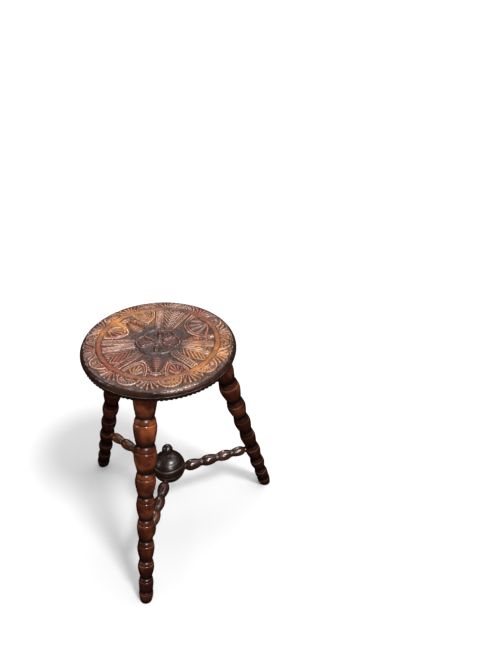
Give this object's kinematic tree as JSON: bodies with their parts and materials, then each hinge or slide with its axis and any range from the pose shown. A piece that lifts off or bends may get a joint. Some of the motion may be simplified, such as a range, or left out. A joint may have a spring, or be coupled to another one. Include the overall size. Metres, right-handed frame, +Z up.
{
  "type": "piano stool",
  "caption": "Round backless stool of piano height with a carved wooden seat on splayed bobbin-turned legs, joined by turned stretchers to a ball with a knob.",
  "frame": {"origin": "on the floor, under the centre of the round seat, on the axis that the three legs splay from", "axes": "+Z up along the stool's axis; -Y towards the front leg; +X to the right of someone facing that leg"},
  "size_m": [0.4396, 0.4038, 0.49],
  "materials": {
    "carved_seat_wood": "carved, stained and waxed, worn dark",
    "leg_wood": "stained and polished to a gloss",
    "stretcher_wood": "stained and polished, a little paler",
    "hub_wood": "stained dark and polished"
  },
  "bodies": {
    "root": {"seat_board": "carved_seat_wood", "leg_front": "leg_wood", "leg_right": "leg_wood", "leg_left": "leg_wood", "stretcher_front": "stretcher_wood", "stretcher_right": "stretcher_wood", "stretcher_left": "stretcher_wood", "hub": "hub_wood", "finial": "hub_wood"}
  },
  "joints": []
}
